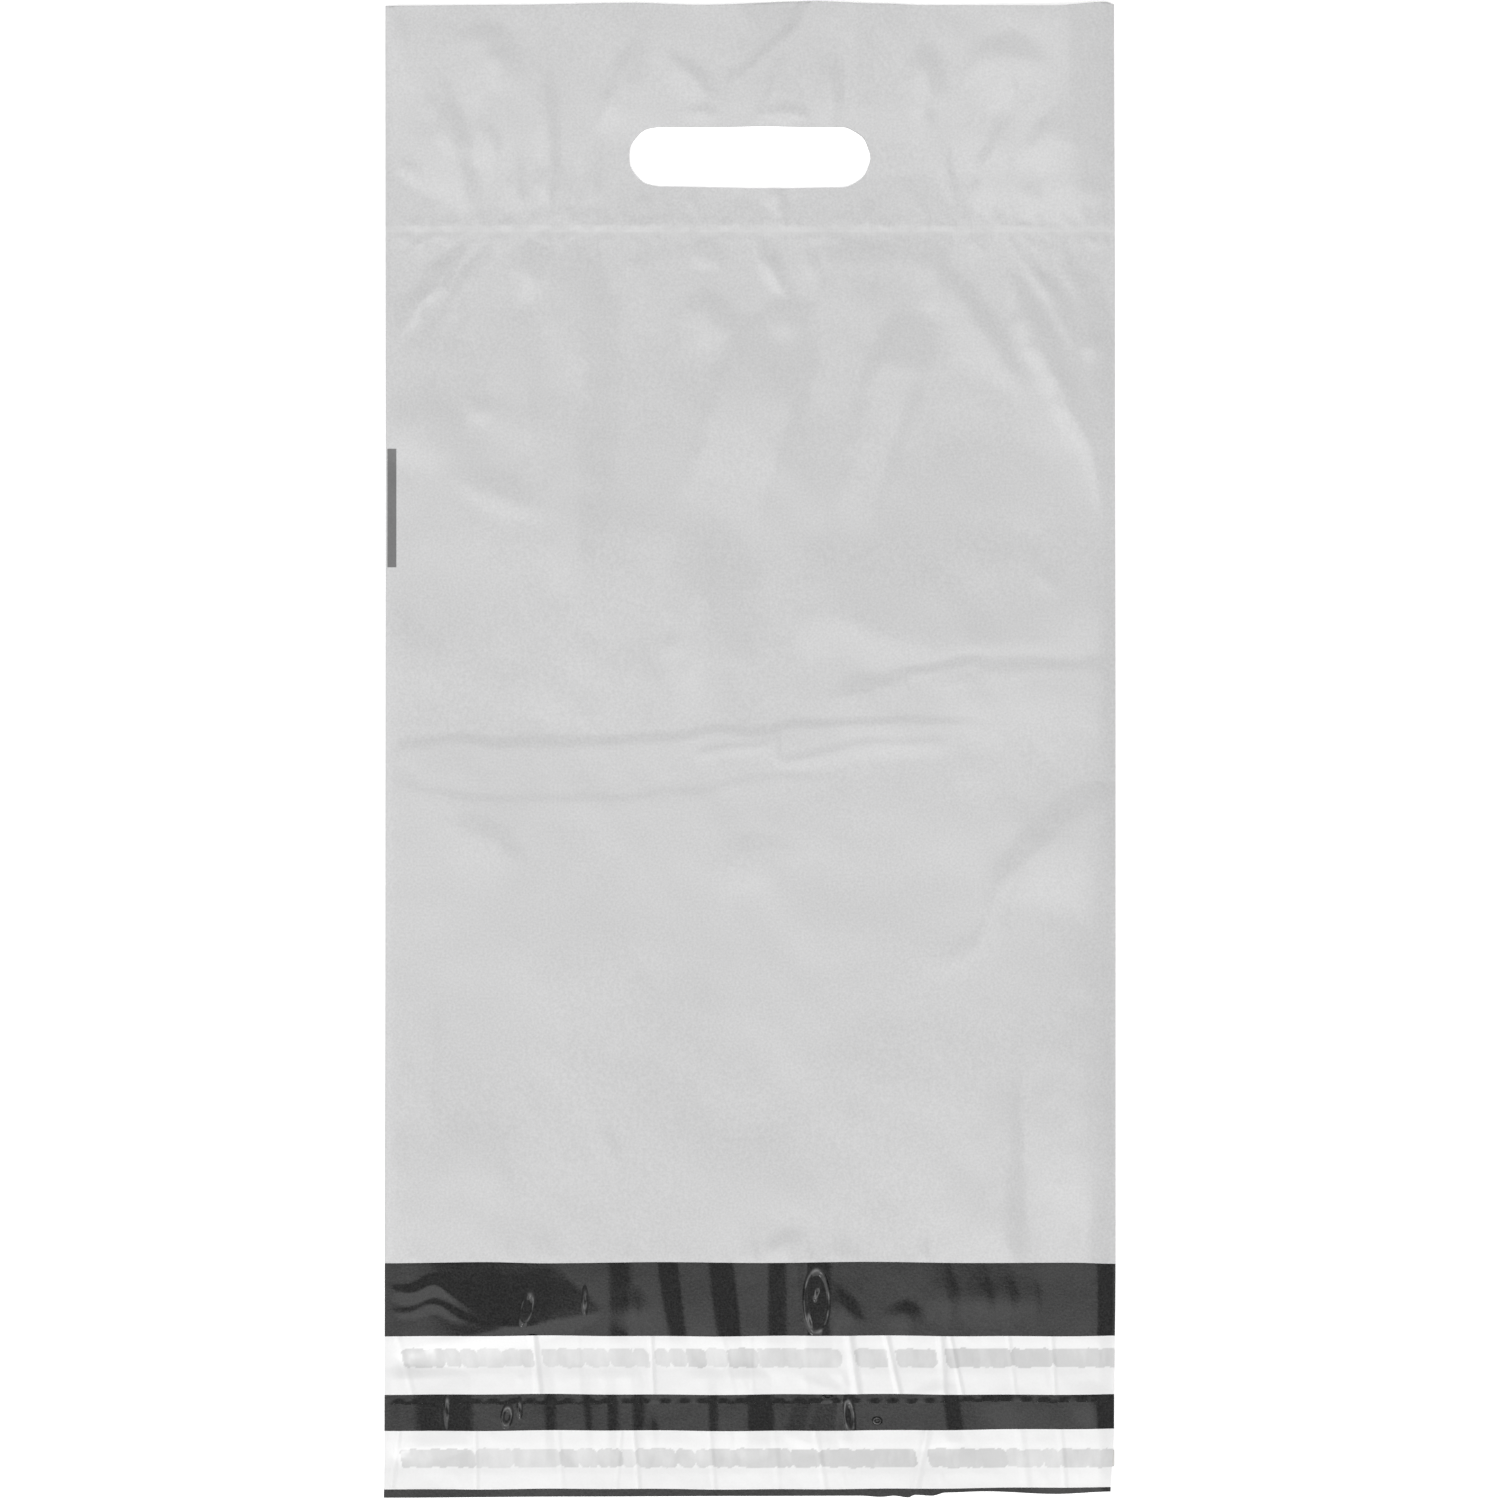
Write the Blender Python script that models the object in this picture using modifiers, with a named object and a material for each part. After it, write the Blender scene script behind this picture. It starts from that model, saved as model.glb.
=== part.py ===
"""Poly mailer bag, empty and lying on its back with the closing flap folded out.

The bag is one sheet of film. It starts at the flap's end, runs up the back,
folds over at the handle end and comes down the front as far as the mouth.
Two side welds and a cross weld join the layers, and the hand slot goes through
both. The flap carries two beads of adhesive under release liners, one to send
with and one to return with, and a perforated tear line between them.

Metres, +Z up, +Y towards the handle end, origin under the middle of the bag.
"""

import math

import bmesh
import bpy
from mathutils import Matrix, Vector

# The sheet
BAG_WIDTH = 0.250
FLAP_LENGTH = 0.080  # mouth to the flap's end
POCKET_LENGTH = 0.353  # mouth to the cross weld
HANDLE_LENGTH = 0.078  # cross weld to the fold
FILM = 0.00006

# How far apart the two layers lie, from the middle of one to the middle of the other
WELDED_APART = 0.0002
POCKET_RISE = 0.0055  # more than that over the pocket's middle, where air holds the front up
MOUTH_DROP = 0.06  # share of the rise lost from the cross weld to the mouth
POCKET_RAMP = 0.070  # length over which the front climbs from the cross weld
HANDLE_RISE = 0.0016
HANDLE_RAMP = 0.030

# Welds
SIDE_WELD = 0.0012
SIDE_BEAD_PROUD = 0.00005
CROSS_WELD = 0.0012
CROSS_BAND = 0.0034  # strip that the weld bar pressed flat

# Hand slot and tear line
SLOT_LENGTH = 0.0823
SLOT_WIDTH = 0.0212
SLOT_BELOW_FOLD = 0.053
TEAR_FROM_END = 0.0317
SLIT_LENGTH = 0.0040
SLIT_WIDTH = 0.00025
SLIT_PITCH = 0.0065
SLIT_COUNT = 38

# Closures on the flap: (name, adhesive's middle and liner's middle from the flap's end)
CLOSURES = (("send", 0.0475, 0.0450), ("return", 0.0132, 0.0126))
ADHESIVE_WIDTH = 0.0064
ADHESIVE_THICKNESS = 0.00008
ADHESIVE_INSET = 0.006  # bare film at the left end of each bead
ADHESIVE_END_RADIUS = 0.002
LINER_WIDTH = 0.020
LINER_THICKNESS = 0.00005
REST_GAP = 0.0003  # between pieces that lie on each other

# How finely the sheet is divided
COLUMNS = 20
BACK_ROWS = 12
FOLD_ROWS = 8
HANDLE_ROWS = 6
POCKET_ROWS = 16
ARC_STEPS = 10

# Worked out from the above
HALF_WIDTH = BAG_WIDTH / 2
BAG_LENGTH = FLAP_LENGTH + POCKET_LENGTH + HANDLE_LENGTH
FOLD = BAG_LENGTH / 2
FLAP_END = -BAG_LENGTH / 2
MOUTH = FLAP_END + FLAP_LENGTH
WELD = MOUTH + POCKET_LENGTH
BACK_MIDDLE = FILM / 2  # height of the middle of the back layer

SILVER = (0.62, 0.63, 0.64, 1.0)
BLACK = (0.018, 0.018, 0.020, 1.0)
GLUE = (0.72, 0.72, 0.70, 1.0)
WHITE = (0.86, 0.86, 0.86, 1.0)


def clear_scene():
    """Starts from an empty scene."""
    for item in list(bpy.data.objects):
        bpy.data.objects.remove(item)


def new_collection(name):
    """Returns a collection linked to the scene."""
    made = bpy.data.collections.new(name)
    bpy.context.scene.collection.children.link(made)
    return made


def new_object(name, mesh, collection):
    """Links a mesh to a collection as an object."""
    made = bpy.data.objects.new(name, mesh)
    collection.objects.link(made)
    return made


def make_tool(item):
    """Marks an object as one that only shapes others."""
    item.hide_render = True
    item.display_type = "WIRE"
    return item


def plastic(name, colour, roughness):
    """Makes a Principled material for one of the plastics."""
    made = bpy.data.materials.new(name)
    made.use_nodes = True
    made.diffuse_color = colour
    shader = made.node_tree.nodes["Principled BSDF"]
    shader.inputs["Base Color"].default_value = colour
    shader.inputs["Roughness"].default_value = roughness
    shader.inputs["Metallic"].default_value = 0.0
    return made


def ramp(share):
    """Climbs smoothly from 0 to 1."""
    share = min(max(share, 0.0), 1.0)
    return share * share * (3 - 2 * share)


def layers_apart(x, y):
    """How far the middle of the front layer is above the middle of the back layer."""
    across = abs(x) / (HALF_WIDTH - SIDE_WELD)
    side = max(0.0, 1 - across**4)
    from_band = abs(y - WELD) - CROSS_BAND / 2
    if y > WELD:
        rise = HANDLE_RISE * ramp(from_band / HANDLE_RAMP)
    else:
        fall = 1 - MOUTH_DROP * from_band / POCKET_LENGTH
        rise = POCKET_RISE * ramp(from_band / POCKET_RAMP) * fall
    return WELDED_APART + rise * side


def sheet_columns():
    """Places across the bag: both edges, then closer together towards the side welds."""
    inner = HALF_WIDTH - SIDE_WELD
    places = [-HALF_WIDTH]
    for step in range(COLUMNS + 1):
        share = 2 * step / COLUMNS - 1
        places.append(inner * (1.5 * share - 0.5 * share**3))
    return places + [HALF_WIDTH]


def sheet_rows():
    """Rows along the sheet as (y, turn): turn is 0 on the back and pi on the front."""
    rows = [(FLAP_END + BAG_LENGTH * step / BACK_ROWS, 0.0) for step in range(BACK_ROWS)]
    rows += [(FOLD, math.pi * step / FOLD_ROWS) for step in range(FOLD_ROWS + 1)]
    handle = HANDLE_LENGTH - CROSS_BAND / 2
    rows += [(FOLD - handle * step / HANDLE_ROWS, math.pi) for step in range(1, HANDLE_ROWS + 1)]
    pocket = POCKET_LENGTH - CROSS_BAND / 2
    for step in range(POCKET_ROWS + 1):
        share = (step / POCKET_ROWS) ** 1.5
        rows.append((MOUTH + pocket * (1 - share), math.pi))
    return rows


def sheet_point(x, y, turn):
    """A point on the middle of the folded sheet."""
    radius = layers_apart(x, y) / 2
    centre = min(y, FOLD - FILM / 2 - radius)
    height = BACK_MIDDLE + radius * (1 - math.cos(turn))
    return Vector((x, centre + radius * math.sin(turn), height))


def folded_sheet():
    """Builds the sheet as a grid, folded over at the handle end."""
    columns, rows = sheet_columns(), sheet_rows()
    shape = bmesh.new()
    bmesh.ops.create_grid(
        shape, x_segments=len(columns) - 1, y_segments=len(rows) - 1, size=1.0
    )
    for point in shape.verts:
        column = round((point.co.x + 1) / 2 * (len(columns) - 1))
        row = round((point.co.y + 1) / 2 * (len(rows) - 1))
        point.co = sheet_point(columns[column], *rows[row])
    mesh = bpy.data.meshes.new("bag_film")
    shape.to_mesh(mesh)
    shape.free()
    return mesh


def block(name, low, high, collection):
    """Makes a box between two corners."""
    low, high = Vector(low), Vector(high)
    shape = bmesh.new()
    bmesh.ops.create_cube(
        shape,
        size=1.0,
        matrix=Matrix.Translation((low + high) / 2) @ Matrix.Diagonal((*(high - low), 1)),
    )
    mesh = bpy.data.meshes.new(name)
    shape.to_mesh(mesh)
    shape.free()
    return new_object(name, mesh, collection)


def slab(name, outline, bottom, thickness, collection):
    """Makes a flat piece from its outline, by way of a filled curve."""
    curve = bpy.data.curves.new(name, "CURVE")
    curve.dimensions = "2D"
    curve.fill_mode = "BOTH"
    curve.extrude = thickness / 2
    spline = curve.splines.new("POLY")
    spline.points.add(len(outline) - 1)
    for point, (x, y) in zip(spline.points, outline):
        point.co = (x, y, 0, 1)
    spline.use_cyclic_u = True
    guide = new_object(name + "_outline", curve, collection)
    guide.location.z = bottom + thickness / 2
    graph = bpy.context.evaluated_depsgraph_get()
    mesh = bpy.data.meshes.new_from_object(guide.evaluated_get(graph))
    mesh.name = name
    made = new_object(name, mesh, collection)
    made.matrix_world = guide.matrix_world.copy()
    made.location = guide.location
    bpy.data.objects.remove(guide)
    shape = bmesh.new()
    shape.from_mesh(mesh)
    bmesh.ops.remove_doubles(shape, verts=shape.verts, dist=LINER_THICKNESS / 10)
    bmesh.ops.recalc_face_normals(shape, faces=shape.faces)
    shape.to_mesh(mesh)
    shape.free()
    return made


def rounded_outline(left, right, middle, width, radius):
    """Corner arcs of a rounded rectangle, anticlockwise."""
    points = []
    corners = (
        (right - radius, middle + width / 2 - radius, 0),
        (left + radius, middle + width / 2 - radius, 1),
        (left + radius, middle - width / 2 + radius, 2),
        (right - radius, middle - width / 2 + radius, 3),
    )
    for x, y, quarter in corners:
        for step in range(ARC_STEPS + 1):
            angle = math.pi / 2 * (quarter + step / ARC_STEPS)
            points.append((x + radius * math.cos(angle), y + radius * math.sin(angle)))
    return points


def join(target, tool, operation):
    """Adds a Boolean that unites the target with the tool, or cuts it."""
    change = target.modifiers.new(tool.name, "BOOLEAN")
    change.operation = operation
    change.solver = "EXACT"
    change.object = tool


def weld_tools(collection):
    """The molten strips that join the layers, each from mid-film to mid-film."""
    low, high = BACK_MIDDLE, BACK_MIDDLE + WELDED_APART
    inner, outer = HALF_WIDTH - SIDE_WELD, HALF_WIDTH + SIDE_BEAD_PROUD
    start, stop = MOUTH + WELDED_APART, FOLD - WELDED_APART
    left = block("side_weld_left", (-outer, start, low), (-inner, stop, high), collection)
    right = block("side_weld_right", (inner, start, low), (outer, stop, high), collection)
    reach = HALF_WIDTH - SIDE_WELD / 2
    overlap = FILM / 10
    cross = block(
        "cross_weld",
        (-reach, WELD - CROSS_WELD / 2, low - overlap),
        (reach, WELD + CROSS_WELD / 2, high + overlap),
        collection,
    )
    return [make_tool(item) for item in (left, right, cross)]


def slot_cutter(collection):
    """The punch of the hand slot, through both layers."""
    outline = rounded_outline(
        -SLOT_LENGTH / 2,
        SLOT_LENGTH / 2,
        FOLD - SLOT_BELOW_FOLD,
        SLOT_WIDTH,
        SLOT_WIDTH / 2 * 0.999,
    )
    depth = 3 * (HANDLE_RISE + WELDED_APART)
    return make_tool(slab("hand_slot", outline, -depth / 3, depth, collection))


def tear_line_cutter(collection):
    """The blades of the perforation between the two closures."""
    y = FLAP_END + TEAR_FROM_END
    first = -SLIT_PITCH * (SLIT_COUNT - 1) / 2
    blade = block(
        "tear_line",
        (first - SLIT_LENGTH / 2, y - SLIT_WIDTH / 2, -2 * FILM),
        (first + SLIT_LENGTH / 2, y + SLIT_WIDTH / 2, 3 * FILM),
        collection,
    )
    row = blade.modifiers.new("row", "ARRAY")
    row.count = SLIT_COUNT
    row.use_relative_offset = False
    row.use_constant_offset = True
    row.constant_offset_displace = (SLIT_PITCH, 0, 0)
    return make_tool(blade)


def build_film(parts, tools):
    """The whole bag: folded sheet, welds, hand slot and tear line."""
    film = new_object("bag_film", folded_sheet(), parts)
    film.data.materials.append(plastic("film_inside", BLACK, 0.22))
    film.data.materials.append(plastic("film_outside", SILVER, 0.30))
    body = film.modifiers.new("thickness", "SOLIDIFY")
    body.thickness = FILM
    body.offset = 0
    body.use_even_offset = True
    body.material_offset = 1
    for weld in weld_tools(tools):
        join(film, weld, "UNION")
    join(film, slot_cutter(tools), "DIFFERENCE")
    join(film, tear_line_cutter(tools), "DIFFERENCE")
    film.data.shade_smooth()


def build_closure(name, adhesive_at, liner_at, parts):
    """One bead of adhesive on the flap and the release liner that lies on it."""
    bead_bottom = FILM + REST_GAP
    outline = rounded_outline(
        -HALF_WIDTH + ADHESIVE_INSET,
        HALF_WIDTH,
        FLAP_END + adhesive_at,
        ADHESIVE_WIDTH,
        ADHESIVE_END_RADIUS,
    )
    bead = slab("adhesive_" + name, outline, bead_bottom, ADHESIVE_THICKNESS, parts)
    bead.data.materials.append(plastic("adhesive_" + name, GLUE, 0.35))
    liner_bottom = bead_bottom + ADHESIVE_THICKNESS + REST_GAP
    y = FLAP_END + liner_at
    liner = block(
        "release_liner_" + name,
        (-HALF_WIDTH, y - LINER_WIDTH / 2, liner_bottom),
        (HALF_WIDTH, y + LINER_WIDTH / 2, liner_bottom + LINER_THICKNESS),
        parts,
    )
    liner.data.materials.append(plastic("release_liner_" + name, WHITE, 0.28))


def build():
    """Builds every piece of the bag."""
    clear_scene()
    parts = new_collection("poly_mailer_bag")
    tools = new_collection("cutters")
    build_film(parts, tools)
    for name, adhesive_at, liner_at in CLOSURES:
        build_closure(name, adhesive_at, liner_at, parts)


build()
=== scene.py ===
"""Looks of the poly mailer bag: wrinkled silver film, black inside, white release liners.

The film is two pieces that meet at the fold and lie closest along the welds: the front
panel, and the back panel that runs on as the flap. Both are height fields over the bag's
outline, in millimetres. The main creases are placed one by one, fine waves are added
between them, and the film is given its real thickness.
"""

import math

import bpy
import numpy as np
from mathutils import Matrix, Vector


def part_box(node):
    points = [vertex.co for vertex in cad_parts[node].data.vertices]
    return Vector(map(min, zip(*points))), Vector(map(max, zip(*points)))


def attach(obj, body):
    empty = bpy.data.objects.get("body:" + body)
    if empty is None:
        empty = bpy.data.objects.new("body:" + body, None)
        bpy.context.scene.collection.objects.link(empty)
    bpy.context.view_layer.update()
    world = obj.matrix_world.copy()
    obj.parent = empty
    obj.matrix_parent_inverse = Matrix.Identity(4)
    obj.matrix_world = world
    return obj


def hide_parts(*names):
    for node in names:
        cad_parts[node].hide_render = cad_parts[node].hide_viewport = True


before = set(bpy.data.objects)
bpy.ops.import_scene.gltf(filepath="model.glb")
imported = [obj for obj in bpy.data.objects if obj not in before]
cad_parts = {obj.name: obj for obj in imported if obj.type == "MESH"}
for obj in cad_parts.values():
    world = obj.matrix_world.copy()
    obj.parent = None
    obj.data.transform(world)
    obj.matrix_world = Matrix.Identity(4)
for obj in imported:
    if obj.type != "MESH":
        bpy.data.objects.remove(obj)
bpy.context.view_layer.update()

MM = 0.001


def node_box(name):
    """A CAD node's lowest and highest corners, in millimetres."""
    low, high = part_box(name)
    return np.array(low) / MM, np.array(high) / MM


# Main places and thicknesses, in millimetres
FILM_LOW, FILM_HIGH = node_box("bag_film")
HALF = 125.0
FOLD = FILM_HIGH[1]
FLAP_END = FILM_LOW[1]
FILM, LINER, BEAD = 0.06, 0.05, 0.06
PANEL_GAP = 0.12
MOUTH = FLAP_END + 80.0
WELD = MOUTH + 353.0
TEAR = FLAP_END + 31.7
SLOT_MIDDLE = (-0.2, FOLD - 52.5)
SLOT_LENGTH, SLOT_WIDTH = 82.3, 20.3
SLIT_LENGTH, SLIT_PITCH, SLIT_COUNT = 4.0, 6.5, 38
EYE_MARK = ((-124.1, 62.5), (-121.0, 103.1))

# Colours, as linear red, green and blue
SILVER = (0.579, 0.579, 0.582)
WELD_GREY = (0.64, 0.64, 0.64)
INK = (0.163, 0.163, 0.163)
BLACK = (0.0095, 0.0095, 0.0095)
# The next colour is a painted highlight, laid on the black film's glinting kinks
PAINTED_HIGHLIGHT_GREY = (0.16, 0.16, 0.16)
LINER_WHITE = (0.815, 0.815, 0.815)
LINER_WETTED = (0.59, 0.59, 0.59)
MELT = (0.62, 0.62, 0.60)
FLOOR_WHITE = (0.97, 0.97, 0.97)

# Light: where it comes from, how much it loses sideways, and its level at positions
# from 0 on its far side, through 0.5 overhead, to 1 on its near side
LIGHT = (-0.35, -0.94)
SIDE_LOSS = 0.4
LIGHT_LEVELS = (
    (0.0, 0.70), (0.30, 0.50), (0.455, 0.42), (0.465, 0.44),
    (0.5, 1.25), (0.535, 1.80), (0.7, 1.75), (1.0, 1.6),
)

# Random seeds for each closure: its lobes and its liner's fine wrinkles
SEEDS = {"send": (21, 41), "return": (22, 42)}

# Edges of the lying bag, as (place along the edge, place across it)
TOP_EDGE = (
    (-125, 254.4), (-83, 254.7), (-40, 255.4), (-17, 254.7), (22, 256.0),
    (45, 255.2), (60, 254.6), (104, 254.6), (122, 255.8), (125, 255.0),
)
MOUTH_EDGE = (
    (-125, -175.6), (-90, -175.2), (-70, -175.6), (-30, -175.2), (5, -175.5),
    (40, -175.1), (75, -175.5), (110, -175.4), (125, -175.8),
)
FLAP_EDGE = (
    (-125, -255.9), (-60, -255.5), (0, -255.3), (39, -255.2), (46, -255.6), (50.5, -255.2), (55.5, -255.8),
    (57.5, -254.9), (63.5, -255.2), (68.5, -254.1), (82, -253.7), (106, -254.6), (125, -253.8),
)
LEFT_EDGE = ((-256, -125.3), (-240, -125.1), (-178, -125.0), (-60, -124.8), (90, -124.7), (256, -124.8))
RIGHT_EDGE = ((-256, 123.4), (-232, 124.6), (-175, 125.1), (0, 125.1), (150, 124.9), (256, 124.6))

# Creases, as (path, lit flank, shaded flank, height) for crease() below. A path's points
# are (x, y) or (x, y, width factor), and a negative height makes a valley
HANDLE_FACETS = (
    (((24, 270), (18, 253), (12, 239.5), (6.7, 225), (1, 209)), 2.2, 16, 0.30),
    (((107, 272), (108.5, 235), (110, 205), (113, 168)), 40, 15, 1.2),
    (((35.5, 266), (35, 216)), 1.6, 9, 0.16),
    (((28, 276, 1.6), (16, 254), (9, 243, 0.64), (0, 236.5, 0.33), (-8, 227, 0.1)), 23, 1.6, -1.0),
)
HANDLE_CREASES = (
    (((-108, 240, 1.3), (-104, 220, 1.1), (-101, 205), (-95.5, 183), (-92, 165)), 22, 6, 0.60),
    (
        ((-70, 242, 2.2), (-69.5, 225, 1.5), (-69, 212), (-68, 200, 0.8), (-70, 186, 0.8), (-73, 162, 0.8)),
        6, 4, 0.52,
    ),
    (((-58, 202), (-45, 227), (-34, 254)), 9, 5, 0.52),
    (((-88.5, 224), (-88.5, 192)), 14, 3.5, 0.26),
    (((-80, 212), (-79, 172)), 6, 3, 0.24),
    (((-34, 243.5), (-20, 231), (-6, 218.5)), 9, 3.6, 0.36),
    (((28, 244), (28, 206)), 10, 3.6, 0.34),
    (((76, 170), (80, 197), (84, 208), (97, 226)), 16, 4.2, 0.46),
    (((91, 196), (109, 223)), 14, 5.5, 0.56),
    (((92, 176), (98, 197)), 6, 4, 0.34),
    (((65, 214), (72, 172)), 6, 3, 0.24),
    (((56, 202), (56, 176)), 6, 3, 0.26),
    (((71, 225), (81, 234.5), (87, 237.7), (94, 238), (106, 231)), 30, 8, 0.55),
    (((51, 233), (68, 233)), 26, 9, 0.60),
    (((-104, 243), (-78, 243)), 26, 7, 0.45),
    (((-95, 236), (-75, 236.5)), 14, 4.5, 0.30),
    (((-119.5, 262), (-119.5, 228)), 6, 2.5, 0.18),
    (((1, 217), (24, 217.5)), 3, 4, 0.30),
    (((-26, 218), (-8, 218)), 3, 4, 0.26),
    (((-98, 179.5), (-55, 181), (-14, 179.5)), 3, 6, 0.34),
    (((-140, 184), (-92, 179)), 3, 8, 0.50),
    (((-40, 176), (-34, 195)), 5, 3.5, 0.46),
    (((-24, 195), (-14, 174)), 6, 4.5, 0.50),
    (((4, 198), (15, 175)), 6, 5, 0.62),
    (((14, 179.5), (50, 180)), 3, 7, 0.36),
    (((-60, 178), (-50, 205)), 5, 3, 0.26),
    (((-98, 198), (-114, 228)), 8, 4, 0.26),
    (((-112, 190), (-122, 205)), 6, 4, 0.26),
)
BODY_CREASES = (
    (((-126, 133), (-111, 153), (-99, 172), (-92, 190)), 3.5, 8, 1.2),
    (((-109, 134), (-97, 158), (-86, 174), (-78, 192)), 3, 6, 0.60),
    (((-71, 192), (-75, 165), (-81, 147)), 8, 5.5, 0.70),
    (((-22, 192), (-14, 171), (-4, 155)), 7, 6, 0.75),
    (((0, 190), (4, 172), (9, 161), (18, 151)), 5, 7, 1.05),
    (((16, 190), (20, 170), (24, 150)), 5, 4, 0.55),
    (((-15, 164), (-13, 132)), 12, 13, 0.55),
    (((10, 160), (13, 136)), 9, 12, 0.45),
    (((-15, 90), (-17, 45), (-18, 0)), 17, 24, 1.0),
    (((-114, 126), (-108, 92)), 20, 14, 0.40),
    (((60, 190), (66, 166), (74, 152), (84, 138), (98, 112)), 14, 6.5, 0.72),
    (((76, 190), (84, 170), (93, 152), (106, 122), (117, 98), (129, 64)), 6, 9, 0.85),
    (((86, 190), (97, 165), (106, 148), (114, 120)), 4.5, 5, 0.50),
    (((98, 190), (108, 166), (118, 146)), 4, 4, 0.36),
    (((-110, 96), (-90, 87), (-60, 79)), 5, 13, 0.42),
    (((-98, 111), (-85, 120)), 4, 9, 0.26),
    (((94, 62), (108, 54)), 3, 5, 0.22),
    (((113, 186), (115, 150), (117, 120), (120, 76)), 30, 12, 1.0),
    (((110, 137), (127, 138)), 5, 5, 0.34),
)
MID_CREASES = (
    (
        ((-140, -8, 0.15), (-124, -4, 0.4), (-114, 1.5, 0.85), (-75, 2, 1.05), (-40, 2, 1),
         (-10, 5.5, 0.95), (11, 6.5, 0.85), (43, 9, 0.75), (70, 8.5, 0.5), (96, 3, 0.3)),
        17, 2.4, 0.27,
    ),
    (
        ((-130, -6), (-110, -14), (-86, -17.5), (-52, -17), (-19, -14), (2, -10.5), (37, -7.5)),
        8, 1.8, 0.075,
    ),
    (((-20, -2), (0, 1), (9, 3.5)), 3, 2, 0.14),
    (((6, -5), (20, -2), (45, 1.5), (70, 3)), 4, 2.5, 0.16),
    (((8.6, 7), (9.4, -4)), 1.5, 1.5, 0.16),
    (((22, 18), (60, 23), (95, 26), (135, 28)), 26, 6, 0.42),
    (((52, 25), (66, 28), (82, 29)), 3, 2, 0.18),
    (((8, 49), (35, 44), (65, 36), (95, 38), (135, 46)), 15, 36, 0.62),
    (
        ((56, -75, 0.2), (75, -68, 0.3), (82, -58, 0.55), (87, -45, 0.8),
         (102, -32), (111, -24), (135, -14)),
        24, 9, 0.80,
    ),
)
LOW_CREASES = (
    (((-57, 196), (-58, 150), (-60, 100), (-62, 36)), 22, 16, 1.0),
    (((-79, 164), (-78, 120), (-76, 80)), 20, 11, 0.62),
    (((-108, -24), (-72, -41)), 16, 10, 0.32),
    (((-6, -60), (-3, -38), (24, -35)), 14, 9, 0.26),
    (((90, -100, 0.5), (88, -150, 0.8), (85, -200, 1.4)), 30, 9, 0.95),
    (((121, -40, 0.2), (119, -100, 0.8), (116, -200, 1.2)), 30, 9, 1.7),
    (((-53, -126), (-44, -145)), 7, 3.5, 0.20),
    (((-124, -132), (-117, -151)), 5, 3, 0.18),
    (((2, -176), (21, -163)), 5, 5, 0.30),
    (((-108, -50), (-108, -170)), 8, 1.6, 0.07),
)
# Facets that climb to a peak part of the way along a path and then fall, as (path,
# half width, height, peak) for tongue() below
TONGUES = (
    (((14, 150, 0.9), (9, 138, 1.0), (2, 118, 1.1), (-11, 82, 0.9)), 11, 1.0, 0.45),
    (((57, 150, 0.7), (53, 137, 1.1), (46, 116, 1), (35, 72, 0.4)), 5, 1.0, 0.25),
    (((46, 200), (45, 128)), 18, 0.6, 0.36),
    (((-27, 196), (-28, 144)), 10, 0.4, 0.42),
    (((-94, -128), (-95, -152)), 8, 0.14, 0.75),
)
FLAP_STRIPES = (
    (
        ((-112, -150, 0.95), (-110, -176, 0.95), (-109, -186), (-107, -199, 1.2), (-104, -215, 1.3)),
        14, 46, 2.1,
    ),
    (((-48.5, -150), (-48.5, -215)), 20, 7, 0.55),
    (((-34, -150), (-31.5, -180), (-27.5, -206), (-27, -215)), 7, 7.5, 0.60),
    (((-17, -150), (-13.5, -186), (-9, -215)), 10, 8.5, 0.70),
    (((5.5, -150), (6, -215)), 9, 6.5, 0.55),
    (((18.6, -165), (18.4, -188), (19.6, -215)), 1.6, 9, 0.8),
    (((119, -150), (119, -262)), 40, 7, 0.8),
    (((-117, -208), (-115, -246)), 12, 21, 1.5),
    (((-70.5, -208), (-70, -246)), 10, 3.5, 0.30),
    (((-59, -208), (-55, -246)), 8, 6, 0.45),
    (((-50, -208), (-48.5, -246)), 5, 6, 0.45),
    (((-41, -208), (-40, -246)), 5, 4.5, 0.36),
    (((-15, -208), (-14, -246)), 9, 6, 0.50),
    (((-7.5, -208), (-6.5, -246)), 4, 4.5, 0.40),
    (((-2.5, -208), (-1, -246)), 4, 9.5, 0.80),
    (((16, -242), (26, -212)), 10, 7, 0.55),
    (((32.5, -212), (31.5, -242)), 1.6, 3.4, 0.35),
    (((65, -214), (69, -242)), 12, 5, 0.50),
)
FLAP_BLOBS = (
    (((-134, -181), (-117, -185.5), (-108, -182.5), (-101, -186.5), (-86, -197)), 6.5, 3, 0.55),
    (((-134, -190), (-118, -192.5), (-108, -189.5), (-99, -194), (-84, -200)), 3.2, 2.5, 0.26),
    (((-90, -197), (-70, -197)), 5, 3, 0.26),
    (((-40, -180), (-38, -204)), 10, 6, 0.26),
    (((27, -180), (33, -192), (43, -198)), 12, 5, 0.26),
    (((42, -194), (64, -193)), 12, 6, 0.26),
    (((66, -172), (69, -202)), 12, 5, 0.22),
    (((79, -172), (81, -204)), 12, 5, 0.26),
    (((87, -172), (89, -204)), 12, 5, 0.22),
    (((96, -174), (98, -202)), 12, 4, 0.14),
    (((-34, -224), (-33, -246)), 4, 2.5, 0.20),
    (((74, -224), (100, -221)), 12, 6, 0.24),
    (((104, -222), (128, -221)), 12, 6, 0.40),
)
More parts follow.
